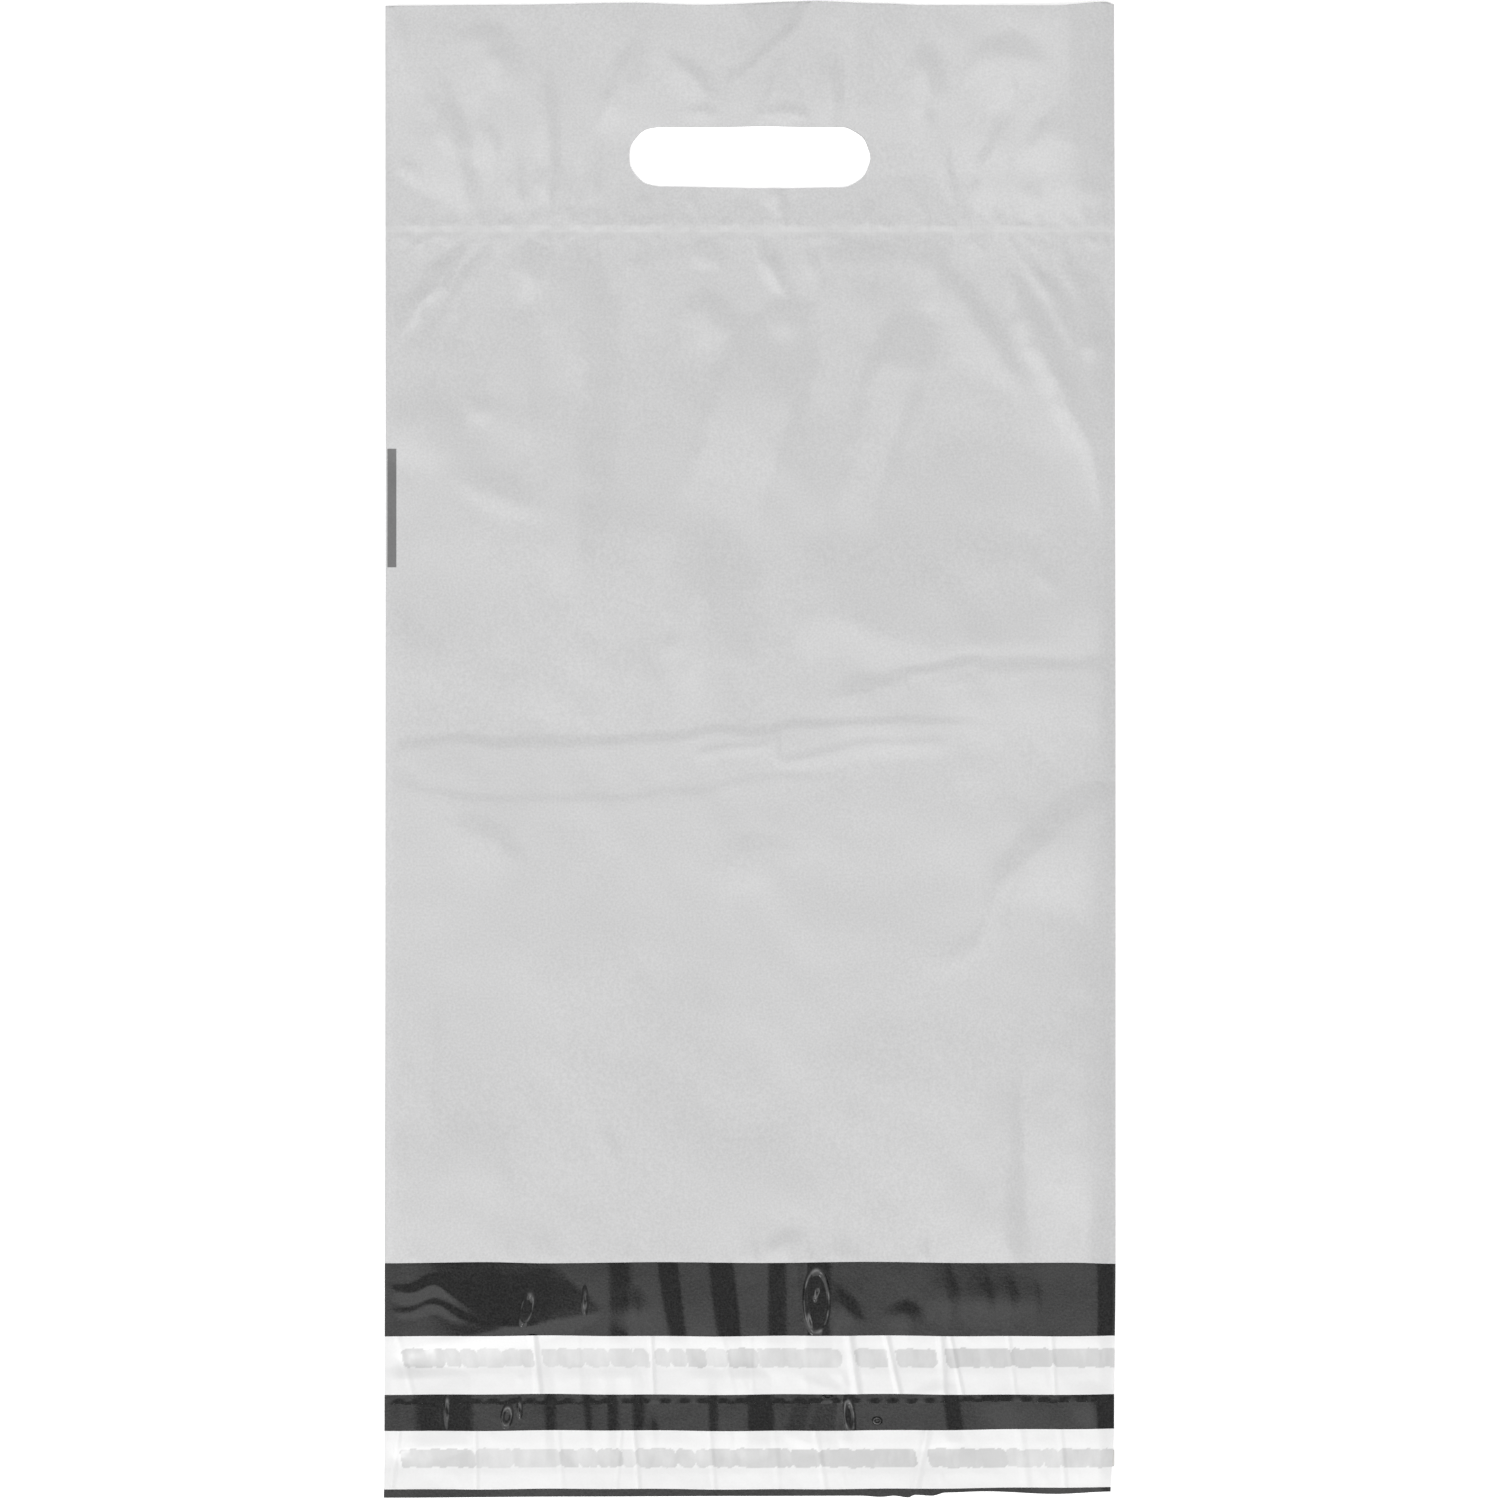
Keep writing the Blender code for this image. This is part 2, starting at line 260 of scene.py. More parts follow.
# Small sharp kinks in the black film that catch the lamp and carry a painted highlight, as (middle, radii,
# lean)
GLINTS = (
    ((-76.3, -191.0), (1.9, 4.9), 0.2), ((22.8, -188.5), (4.2, 10.6), 0.0),
    ((-56.5, -188.5), (0.5, 2.2), 0.0), ((23.0, -185.5), (0.6, 1.6), 0.2),
    ((20.6, -195.5), (0.5, 2.0), -0.2), ((-103.6, -225.5), (0.5, 2.8), 0.0),
    ((-83.2, -228.0), (1.5, 3.0), 0.1), ((-78.8, -225.2), (0.4, 1.4), 0.0),
    ((43.5, -229.6), (1.2, 1.0), 0.0), ((34.0, -228.0), (1.5, 5.5), -0.1),
    ((26.5, -221.2), (1.2, 0.5), 0.0),
)
# Wet-out lobes of the adhesive under each liner: runs of places where one lobe meets the next
LOBES = {
    "send": (
        (-119, -104.5, -99, -93, -84.5, -78.5, -74), (-71, -66, -56.5, -48, -40, -34.5),
        (-32.5, -27.5, -21.5, -15, -7.5, 3, 31.5), (36, 47), (50, 64), (67, 89.5, 103.5, 126),
    ),
    "return": (
        (-119.5, -94, -81, -65, -59, -52, -43.5, -39, -25, -18.5, -14, -5, 14, 24, 57),
        (61, 88, 100.5, 106, 126),
    ),
}
# Puckers that run across each liner, as (x at the upper edge, x at the lower edge, width, height)
PUCKERS = {
    "send": (
        (-74.5, -72, 2.0, 0.9), (-34, -33, 1.3, 0.6), (33.5, 37, 2.2, 0.9), (46, 51.5, 1.6, 0.65),
        (65, 66.5, 2.0, 0.9), (68, 73, 1.2, 0.45), (-121, -115, 1.6, 0.22), (-10, -5, 1.5, 0.14),
        (0, 1, 1.2, 0.12), (88, 91, 1.3, 0.25), (103, 104.5, 1.2, 0.35), (-59, -58, 1.5, 0.10),
        (17, 20, 2, 0.12),
    ),
    "return": (
        (61, 56, 2.2, 0.9), (-120, -123, 1.5, 0.5), (-40, -38, 1.3, 0.40), (-94, -93.5, 1.0, 0.25),
        (-14, -12, 1.3, 0.25), (22, 26, 1.6, 0.20), (-66, -64, 1.5, 0.12), (-44, -46, 1.2, 0.2),
        (92, 95, 2.5, 0.22), (106, 108, 1.5, 0.22), (8, 10, 1.6, 0.12),
    ),
}


def clamp01(t):
    """The value, held between 0 and 1."""
    return np.clip(t, 0.0, 1.0)


def ease(t):
    """Climbs smoothly from 0 to 1."""
    t = clamp01(t)
    return t * t * (3 - 2 * t)


def through(points, at):
    """A smooth curve through a few points, read at some places."""
    places, values = np.array(points, float).T
    step = np.clip(np.searchsorted(places, at) - 1, 0, len(places) - 2)
    share = ease((at - places[step]) / (places[step + 1] - places[step]))
    return values[step] + (values[step + 1] - values[step]) * share


def graded(start, stop, spacings):
    """Places from start to stop whose spacing follows (place, spacing) points."""
    marks, gaps = np.array(sorted(spacings), float).T
    places = [start]
    while places[-1] < stop:
        places.append(places[-1] + np.interp(places[-1], marks, gaps))
    places = np.array(places)
    return start + (places - start) * (stop - start) / (places[-1] - start)


def rounded_path(path, steps=6):
    """Points along a smooth curve through the path's (x, y) or (x, y, width) points."""
    points = np.array([(*p, 1.0)[:3] for p in path], float)
    ends = np.vstack([2 * points[0] - points[1], points, 2 * points[-1] - points[-2]])
    found = []
    for a, b, c, d in zip(ends, ends[1:], ends[2:], ends[3:]):
        for t in np.linspace(0, 1, steps, endpoint=False):
            bend = (2 * a - 5 * b + 4 * c - d) * t**2 + (3 * b - a - 3 * c + d) * t**3
            found.append(b + 0.5 * ((c - a) * t + bend))
    return np.array(found + [points[-1]])


def beside(x, y, line):
    """For each point: distance to the line, side (1 on its left hand), share along it and width there."""
    best = np.full(x.shape, 1e9)
    side, share, width = np.zeros_like(x), np.zeros_like(x), np.ones_like(x)
    lengths = np.hypot(*np.diff(line[:, :2], axis=0).T)
    run = np.concatenate([[0], np.cumsum(lengths)])
    for i, length in enumerate(lengths):
        a, b = line[i], line[i + 1]
        ahead = ((x - a[0]) * (b[0] - a[0]) + (y - a[1]) * (b[1] - a[1])) / length**2
        ahead = clamp01(ahead)
        away = np.hypot(x - a[0] - ahead * (b[0] - a[0]), y - a[1] - ahead * (b[1] - a[1]))
        closer = away < best
        best[closer] = away[closer]
        turn = (b[0] - a[0]) * (y - a[1]) - (b[1] - a[1]) * (x - a[0])
        side[closer] = np.sign(turn)[closer]
        share[closer] = (run[i] + ahead * length)[closer] / run[-1]
        width[closer] = (a[2] + ahead * (b[2] - a[2]))[closer]
    return best, side, share, width


def near_line(x, y, line, reach):
    """Which points may be within reach of the line."""
    low, high = line[:, :2].min(axis=0) - reach, line[:, :2].max(axis=0) + reach
    return (x > low[0]) & (x < high[0]) & (y > low[1]) & (y < high[1])


def crease(x, y, path, lit, shade, height, ends=0.3, soft=0.0):
    """A crease in the film: it climbs over lit mm to the path and falls over shade mm beyond.

    The lit side is on the right hand of someone who walks along the path, which is the
    left or lower side of a path drawn downwards or to the right. The crease tapers out
    over the ends' share of its length. Soft 0 gives a sharp fold and 1 a rolling wave.
    """
    line = rounded_path(path)
    near = near_line(x, y, line, max(lit, shade) * line[:, 2].max())
    away, side, share, width = beside(x[near], y[near], line)
    taper = ease(share / ends) * ease((1 - share) / ends)
    width = width * (0.3 + 0.7 * taper)
    rise = clamp01(1 - away / (np.where(side > 0, shade, lit) * width))
    over = np.maximum(rise - 0.85, 0)
    sharp = rise - over**2 / 0.3
    z = np.zeros_like(x)
    z[near] = height * width * (sharp + (ease(rise) - sharp) * soft) * taper
    return z


def tongue(x, y, path, half_width, height, peak, side=6.0):
    """A facet that climbs to a peak part of the way along the path and falls to its end."""
    line = rounded_path(path)
    near = near_line(x, y, line, half_width * line[:, 2].max() + side)
    away, _, share, width = beside(x[near], y[near], line)
    along = np.minimum(ease(share / peak), (1 - share) / (1 - peak))
    z = np.zeros_like(x)
    z[near] = height * along * ease((half_width * width + side - away) / side)
    return z


def swell(x, y, seed, count, shortest, longest, height):
    """Gentle random waves."""
    rng = np.random.default_rng(seed)
    z = np.zeros_like(x)
    for _ in range(count):
        length = rng.uniform(shortest, longest)
        angle, phase = rng.uniform(0, 2 * math.pi, 2)
        z += np.sin((x * math.cos(angle) + y * math.sin(angle)) * 2 * math.pi / length + phase)
    return z * height / math.sqrt(count)


def weld_puckers(x, y):
    """Small puckers that radiate from both sides of the cross weld."""
    rng = np.random.default_rng(11)
    z = np.zeros_like(x)
    for _ in range(210):
        start = rng.uniform(-124, 124)
        up = rng.choice((-1, 1), p=(0.5, 0.5))
        length = rng.uniform(4, 9) * rng.choice((1, 2.2), p=(0.7, 0.3))
        lean = (rng.normal(0, 0.35) - up * start / 200) * length
        path = ((start, WELD - up * 1.5), (start + lean, WELD + up * length))
        if up > 0:
            path = path[::-1]
        width = rng.uniform(0.8, 2.4)
        z += crease(x, y, path, width * rng.uniform(0.7, 1.8), width, rng.uniform(0.05, 0.12), 0.45)
    return z


def mouth_scallops(x, y):
    """Small waves along the cut edge of the mouth."""
    rng = np.random.default_rng(17)
    z = np.zeros_like(x)
    for _ in range(30):
        middle, half = rng.uniform(-118, 92), rng.uniform(1.5, 5)
        crest = rng.uniform(1.2, 3.4)
        path = ((middle - half, MOUTH + crest), (middle + half, MOUTH + crest))
        z += crease(x, y, path, crest + 0.6, 9, rng.uniform(0.05, 0.16), ends=0.5, soft=0.4)
    return z


def apart(x, y):
    """How far the front panel lies above the back panel."""
    from_weld = np.abs(y - WELD)
    handle = 1.1 * ease(from_weld / 75)
    pocket = 1.1 * ease(from_weld / 190) + 0.7 * ease((from_weld - 170) / 180)
    roundness = np.interp(y, (MOUTH, -60, 0, FOLD), (10, 20, 60, 60))
    across = clamp01(np.abs(x) / (HALF - 0.6))
    side = 1 - across ** np.where(x > 0, roundness, 90)
    return PANEL_GAP + np.where(y > WELD, handle, pocket) * side


def flap_height(x, y):
    """Height of the middle of the back panel's and the flap's film."""
    z = np.zeros_like(x)
    for path, lit, shade, height in FLAP_STRIPES:
        z += crease(x, y, path, lit, shade, height, ends=0.2)
    for path, lit, shade, height in FLAP_BLOBS:
        z += crease(x, y, path, lit, shade, height, ends=0.5, soft=0.7)
    z += swell(x, y, 8, 16, 25, 70, 0.06) + 0.12
    z += swell(x, y, 9, 20, 8, 20, 0.010) + swell(x, y, 10, 30, 3, 8, 0.003)
    free = ease((MOUTH + 9 - y) / 9) * ease((HALF - 0.3 - np.abs(x)) / 5)
    return FILM / 2 + 0.02 + z * free


def front_height(x, y):
    """Height of the middle of the front panel's film."""
    handle, body = np.zeros_like(x), np.zeros_like(x)
    bent_x = x + swell(x, y, 12, 16, 7, 30, 0.75) + swell(x, y, 13, 16, 2.5, 5, 0.12)
    bent_y = y + swell(x, y, 14, 16, 7, 30, 0.75) + swell(x, y, 15, 16, 2.5, 5, 0.12)
    for path, lit, shade, height in HANDLE_FACETS:
        handle += crease(bent_x, bent_y, path, lit, shade, height, ends=0.1)
    for path, lit, shade, height in HANDLE_CREASES:
        handle += crease(bent_x, bent_y, path, lit, shade, height, ends=0.45, soft=0.4)
    for path, lit, shade, height in BODY_CREASES:
        body += crease(bent_x, bent_y, path, lit, shade, height, ends=0.45, soft=0.6)
    for path, lit, shade, height in MID_CREASES:
        body += crease(bent_x, bent_y, path, lit, shade, height, ends=0.12, soft=0.3)
    for path, lit, shade, height in LOW_CREASES:
        body += crease(bent_x, bent_y, path, lit, shade, height, ends=0.4, soft=1.0)
    facets = np.zeros_like(x)
    for path, half_width, height, peak in TONGUES:
        facets += tongue(bent_x, bent_y, path, half_width, height, peak)
    folds = np.where(y > WELD, handle, body)
    folds += swell(x, y, 3, 24, 35, 110, 0.12)
    folds += swell(x, y, 4, 30, 12, 32, 0.038)
    from_weld = np.abs(y - WELD)
    folds += mouth_scallops(x, y) - 0.3 * np.exp(-((from_weld / 25) ** 2))
    edge = ease((HALF - np.abs(x)) / 4)
    facets *= ease((WELD - y) / 13)
    z = apart(x, y) + (facets + folds * ease(from_weld / 16) + 0.1 * ease(from_weld / 15)) * edge
    small = swell(x, y, 5, 40, 4, 11, 0.0055) + weld_puckers(x, y) * ease(from_weld / 1.5)
    small += swell(x, y, 6, 40, 2.5, 8, 0.012) * np.exp(-((from_weld / 9) ** 2))
    side_bead = 0.06 * np.exp(-(((HALF - 0.6 - np.abs(x)) / 0.4) ** 2))
    return np.maximum(z, PANEL_GAP + flap_height(x, y)) + small * edge + side_bead


def slot_edge(dx, dy, x, radius):
    """Distance from the slot's axis to its slightly wavy edge."""
    top = 0.35 * np.exp(-(((x - 5) / 11) ** 2))
    bottom = 0.75 * np.exp(-(((x - 8) / 26) ** 2))
    facets = 0.10 * np.cos(9 * np.arctan2(dy, dx))
    return radius + np.where(dy > 0, top, bottom) + facets


def cut_slot(x, y, centre, length, width):
    """Cuts the hand slot.

    Returns the points, with the rim's moved onto the slot's edge, and the faces to leave out.
    """
    half, radius = (length - width) / 2, width / 2

    def from_axis(px, py):
        return px - np.clip(px, centre[0] - half, centre[0] + half), py - centre[1]

    middle_x = (x[:-1, :-1] + x[1:, :-1] + x[:-1, 1:] + x[1:, 1:]) / 4
    middle_y = (y[:-1, :-1] + y[1:, :-1] + y[:-1, 1:] + y[1:, 1:]) / 4
    dx, dy = from_axis(middle_x, middle_y)
    drop = np.hypot(dx, dy) < slot_edge(dx, dy, middle_x, radius)
    touches = np.zeros((2, *x.shape), bool)
    for kind, faces in enumerate((drop, ~drop)):
        for rows in (slice(None, -1), slice(1, None)):
            for columns in (slice(None, -1), slice(1, None)):
                touches[kind][rows, columns] |= faces
    rim = touches[0] & touches[1]
    dx, dy = from_axis(x, y)
    away = np.maximum(np.hypot(dx, dy), 1e-9)
    move = np.where(rim, slot_edge(dx, dy, x, radius) / away - 1, 0)
    return x + dx * move, y + dy * move, drop


def grid_mesh(name, points, drop=None, wet=None):
    """A mesh over a grid of points, without the faces in drop, and with wet kept on its points."""
    rows, columns = points.shape[:2]
    index = np.arange(rows * columns).reshape(rows, columns)
    quads = np.stack([index[:-1, :-1], index[:-1, 1:], index[1:, 1:], index[1:, :-1]], axis=-1)
    quads = quads.reshape(-1, 4) if drop is None else quads[~drop]
    used, packed = np.unique(quads, return_inverse=True)
    mesh = bpy.data.meshes.new(name)
    mesh.from_pydata((points.reshape(-1, 3)[used] * MM).tolist(), [], packed.reshape(-1, 4).tolist())
    if wet is not None:
        kept = mesh.attributes.new("wet", "FLOAT", "POINT")
        kept.data.foreach_set("value", wet.ravel()[used].astype(np.float32))
    mesh.shade_smooth()
    mesh.update()
    return mesh


def film_piece(name, mesh, materials, thickness):
    """Makes a thin piece of film from its middle surface, with sharp cut edges.

    Its first material is on top and round the edge, and a second one below.
    """
    piece = bpy.data.objects.new(name, mesh)
    bpy.context.scene.collection.objects.link(piece)
    for material in materials:
        mesh.materials.append(material)
    body = piece.modifiers.new("thickness", "SOLIDIFY")
    body.thickness = thickness * MM
    body.offset = 0
    if len(materials) > 1:
        body.material_offset = 1
    solid = bpy.data.meshes.new_from_object(piece.evaluated_get(bpy.context.evaluated_depsgraph_get()))
    solid.set_sharp_from_angle(angle=math.radians(50))
    piece.modifiers.clear()
    piece.data = solid
    bpy.data.meshes.remove(mesh)
    solid.name = name
    return piece


def placed(across, along, low_edge, high_edge):
    """Grid points between the bag's wavy edges: along runs from low_edge to high_edge."""
    v, u = np.meshgrid(along, across, indexing="ij")
    low, high = through(low_edge, across), through(high_edge, across)
    share = (v - along[0]) / (along[-1] - along[0])
    y = v + (low - along[0]) * (1 - share) ** 12 + (high - along[-1]) * share**6
    left, right = through(LEFT_EDGE, along), through(RIGHT_EDGE, along)
    x = left[:, None] + (u + HALF) / (2 * HALF) * (right - left)[:, None]
    return x, y


def front_panel(materials):
    """The front panel, from the mouth up to the fold and round it."""
    across = graded(-HALF, HALF, [(-125, 0.5), (-121, 1.3), (0, 1.3), (121, 1.3), (125, 0.5)])
    spacings = (
        (-176, 0.8), (-168, 1.4), (-150, 3.2), (-60, 3.2), (-40, 2.2), (-22, 1.2), (35, 1.4),
        (50, 2.6), (100, 2.6), (150, 1.7), (166, 0.85), (188, 0.85), (200, 1.4), (248, 1.7), (256, 0.6),
    )
    along = graded(MOUTH, FOLD, spacings)
    x, y = placed(across, along, MOUTH_EDGE, TOP_EDGE)
    x, y, drop = cut_slot(x, y, SLOT_MIDDLE, SLOT_LENGTH, SLOT_WIDTH)
    z = front_height(x, y)
    turns = np.linspace(0, math.pi, 4)[1:, None]
    radius = (z[-1] - FILM) / 2
    y = np.vstack([y, y[-1] + np.sin(turns) * 0.25])
    x = np.vstack([x, np.repeat(x[-1:], len(turns), axis=0)])
    z = np.vstack([z, z[-1] - (1 - np.cos(turns)) * radius])
    drop = np.vstack([drop, np.zeros((len(turns), drop.shape[1]), bool)])
    mesh = grid_mesh("front_panel", np.stack([x, y, z], axis=-1), drop)
    return film_piece("front_panel", mesh, materials, FILM)


def slit_lips(x, y, z):
    """Opens the tear line: each slit's upper lip stands up a little and laps over the lower one.

    Returns the faces to leave out.
    """
    row = int(np.argmin(np.abs(y[:, 0] - TEAR)))
    drop = np.zeros((x.shape[0] - 1, x.shape[1] - 1), bool)
    y[row + 1] = y[row] + 0.024
    first = -SLIT_PITCH * (SLIT_COUNT - 1) / 2
    for slit in range(SLIT_COUNT):
        middle = first + slit * SLIT_PITCH
        start = int(np.argmin(np.abs(x[row] - middle + SLIT_LENGTH / 2)))
        stop = int(np.argmin(np.abs(x[row] - middle - SLIT_LENGTH / 2)))
        drop[row, start:stop] = True
        lip = slice(start + 1, stop)
        y[row + 1, lip] = y[row, lip] - 0.05
        z[row + 1, lip] += 0.13
        z[row + 2, lip] += 0.06
    return drop


def back_panel(materials):
    """The back panel and the flap, one stretch of film."""
    across = graded(-HALF, HALF, [(-125, 0.5), (-121, 1.0), (0, 1.0), (121, 1.0), (125, 0.5)])
    spacings = (
        (-256, 0.9), (-226, 0.9), (-225, 0.5), (-222, 0.5), (-221, 0.9), (-176, 0.9), (-165, 3), (-150, 9),
        (165, 9), (187, 1.2), (217, 1.2), (230, 6), (256, 6),
    )
    along = graded(FLAP_END, FOLD, spacings)
    x, y = placed(across, along, FLAP_EDGE, TOP_EDGE)
    middle = (SLOT_MIDDLE[0] - 0.2, SLOT_MIDDLE[1] - 0.3)
    x, y, drop = cut_slot(x, y, middle, SLOT_LENGTH + 0.5, SLOT_WIDTH + 0.5)
    z = flap_height(x, y)
    drop |= slit_lips(x, y, z)
    mesh = grid_mesh("back_panel_and_flap", np.stack([x, y, z], axis=-1), drop)
    return film_piece("back_panel_and_flap", mesh, materials, FILM)


def glued(x, y, closure, middle, half):
    """How far the adhesive wets the liner: a row of lobes with notches between them."""
    rng = np.random.default_rng(SEEDS[closure][0])
    wet = np.zeros_like(x)
    leaning = x + 0.16 * (y - middle)
    ragged = swell(x, 0 * y, 23, 14, 2.5, 9, 0.22)
    for run in LOBES[closure]:
        for start, stop in zip(run, run[1:]):
            to_start, to_stop = leaning - start, stop - leaning
            top = bottom = half + rng.uniform(-0.2, 0.1)
            notches = rng.uniform(0.1, 0.75, 4) ** 1.5
            for inward, high, low in ((to_start, *notches[:2]), (to_stop, *notches[2:])):
                curl = clamp01(1 - inward / 1.8) ** 2
                top = top * (1 - high * curl)
                bottom = bottom * (1 - low * curl)
            inside = (to_start > 0) & (to_stop > 0)
            inside &= (y - middle < top + ragged) & (middle - y < bottom - ragged)
            wet[inside] = rng.uniform(0.6, 1.05) + 0.1 * ease((start + 60) / 160)
    return wet


def liner(closure, material):
    """A release liner, wetted by the adhesive below it and lifted between the lobes."""
    low, high = node_box("release_liner_" + closure)
    bead_low, bead_high = node_box("adhesive_" + closure)
    middle, half = (bead_low[1] + bead_high[1]) / 2, (bead_high[1] - bead_low[1]) / 2
    across = graded(-HALF, HALF, [(-125, 0.45), (125, 0.45)])
    along = graded(low[1], high[1], [(low[1], 0.45), (high[1], 0.45)])
    y, x = np.meshgrid(along, across, indexing="ij")
    wave = 0.12 * np.sin(across / 17 + low[1]) + 0.08 * np.sin(across / 6.3)
    rise = 0.7 * ease((across - 50) / 60) * (closure == "return")
    y = y + wave + rise
    left, right = through(LEFT_EDGE, along), through(RIGHT_EDGE, along)
    x = left[:, None] + (x + HALF) / (2 * HALF) * (right - left)[:, None]
    wet = glued(x, y, closure, middle, half)
    lift = 0.14 + 0.10 * ease(np.abs(y - middle) / half - 0.8)
    for top, bottom, width, height in PUCKERS[closure]:
        path = ((top, high[1] + 2), (bottom, low[1] - 2))
        lift += crease(x, y, path, width, width, height, ends=0.02, soft=1.0)
    rng = np.random.default_rng(SEEDS[closure][1])
    for start in rng.uniform(-118, 118, 26):
        up = rng.choice((-1, 1))
        path = ((start, middle + up * 2), (start + rng.normal(0, 4), middle + up * 12))
        lit, shade, height = rng.uniform(1, 4), rng.uniform(1, 2.5), rng.uniform(0.03, 0.12)
        lift += crease(x, y, path, lit, shade, height, ends=0.6, soft=0.7)
    lift += swell(x, y, 31, 20, 12, 40, 0.07) + swell(x, y, 32, 20, 4, 10, 0.012) + 0.1
    z = flap_height(x, y) + lift
    mesh = grid_mesh("liner_" + closure, np.stack([x, y, z], axis=-1), wet=wet)
    return film_piece("liner_" + closure, mesh, [material], LINER)


def bead(closure, material):
    """The adhesive itself, a wavy-edged strip on the flap."""
    low, high = node_box("adhesive_" + closure)
    across = graded(low[0], HALF - 0.3, [(-125, 0.8), (125, 0.8)])
    along = np.linspace(low[1], high[1], 9)
    y, x = np.meshgrid(along, across, indexing="ij")
    middle = (low[1] + high[1]) / 2
    y = middle + (y - middle) * (0.93 + 0.05 * np.sin(x / 2.9) + 0.02 * np.sin(x / 1.3))
    z = flap_height(x, y) + 0.075
    mesh = grid_mesh("adhesive_bead_" + closure, np.stack([x, y, z], axis=-1))
    return film_piece("adhesive_bead_" + closure, mesh, [material], BEAD)


class Finish:
    """A Principled material with a few helpers to wire its pattern."""

    def __init__(self, name, roughness):
        self.material = bpy.data.materials.new(name)
        self.material.use_nodes = True
        self.tree = self.material.node_tree
        self.shader = self.tree.nodes["Principled BSDF"]
        self.shader.inputs["Roughness"].default_value = roughness
        self.place = self.tree.nodes.new("ShaderNodeTexCoord").outputs["Object"]

    def link(self, source, target):
        """Joins two sockets."""
        self.tree.links.new(source, target)
        return source

    def noise(self, scale, detail=2.0, stretch=None):
        """Noise from 0 to 1, with scale in waves per metre."""
        made = self.tree.nodes.new("ShaderNodeTexNoise")
        made.inputs["Scale"].default_value = scale
        made.inputs["Detail"].default_value = detail
        place = self.place
        if stretch:
            mapping = self.tree.nodes.new("ShaderNodeMapping")
            mapping.inputs["Scale"].default_value = stretch
            self.link(place, mapping.inputs["Vector"])
            place = mapping.outputs["Vector"]
        self.link(place, made.inputs["Vector"])
        return made.outputs["Fac"]

    def remap(self, value, low, high, start=0.3, stop=0.7, curve="LINEAR"):
        """Turns start to stop into low to high, and holds it there beyond."""
        made = self.tree.nodes.new("ShaderNodeMapRange")
        made.interpolation_type = curve
        self.link(value, made.inputs["Value"])
        for name, number in (("From Min", start), ("From Max", stop), ("To Min", low), ("To Max", high)):
            made.inputs[name].default_value = number
        return made.outputs["Result"]

    def maths(self, operation, a, b=0):
        """One Math node on sockets or numbers."""
        made = self.tree.nodes.new("ShaderNodeMath")
        made.operation = operation
        for socket, value in zip(made.inputs, (a, b)):
            if isinstance(value, (int, float)):
                socket.default_value = value
            else:
                self.link(value, socket)
        return made.outputs["Value"]

    def mix(self, share, a, b):
        """Mixes two colours by share."""
        made = self.tree.nodes.new("ShaderNodeMix")
        made.data_type = "RGBA"
        self.link(share, made.inputs["Factor"])
        for socket, colour in ((made.inputs["A"], a), (made.inputs["B"], b)):
            if isinstance(colour, tuple):
                socket.default_value = (*colour, 1)
            else:
                self.link(colour, socket)
        return made.outputs["Result"]

    def scaled(self, colour, factor):
        """A colour multiplied by a pattern."""
        made = self.tree.nodes.new("ShaderNodeMix")
        made.data_type = "RGBA"
        made.blend_type = "MULTIPLY"
        made.inputs["Factor"].default_value = 1.0
        self.link(factor, made.inputs["B"])
        if isinstance(colour, tuple):
            made.inputs["A"].default_value = (*colour, 1)
        else:
            self.link(colour, made.inputs["A"])
        return made.outputs["Result"]

    def bump(self, under, height, distance):
        """Adds a relief over the one below it, with distance in metres, and puts it on the shader."""
        made = self.tree.nodes.new("ShaderNodeBump")
        made.inputs["Distance"].default_value = distance
        self.link(height, made.inputs["Height"])
        if under:
            self.link(under, made.inputs["Normal"])
        self.link(made.outputs["Normal"], self.shader.inputs["Normal"])
        return made.outputs["Normal"]

    def rim(self, x, y, middle, radii, lean):
        """A narrow ridge, 0 to 1 high, along a leaning oval given in millimetres."""
        dx, dy = self.maths("SUBTRACT", x, middle[0] * MM), self.maths("SUBTRACT", y, middle[1] * MM)
        dx = self.maths("SUBTRACT", dx, self.maths("MULTIPLY", dy, lean))
        dx, dy = self.maths("DIVIDE", dx, radii[0] * MM), self.maths("DIVIDE", dy, radii[1] * MM)
        away = self.maths("ADD", self.maths("MULTIPLY", dx, dx), self.maths("MULTIPLY", dy, dy))
        away = self.maths("ABSOLUTE", self.maths("SUBTRACT", self.maths("SQRT", away), 1))
        return self.remap(away, 1.0, 0.0, 0.0, 0.8 / radii[0], "SMOOTHSTEP")

    def axis(self, name):
        """A place's X, Y or Z in metres."""
        made = self.tree.nodes.new("ShaderNodeSeparateXYZ")
        self.link(self.place, made.inputs["Vector"])
        return made.outputs[name]

    def between(self, value, low, high):
        """1 where the value is between low and high, else 0."""
        above = self.maths("GREATER_THAN", value, low)
        below = self.maths("LESS_THAN", value, high)
        return self.maths("MULTIPLY", above, below)


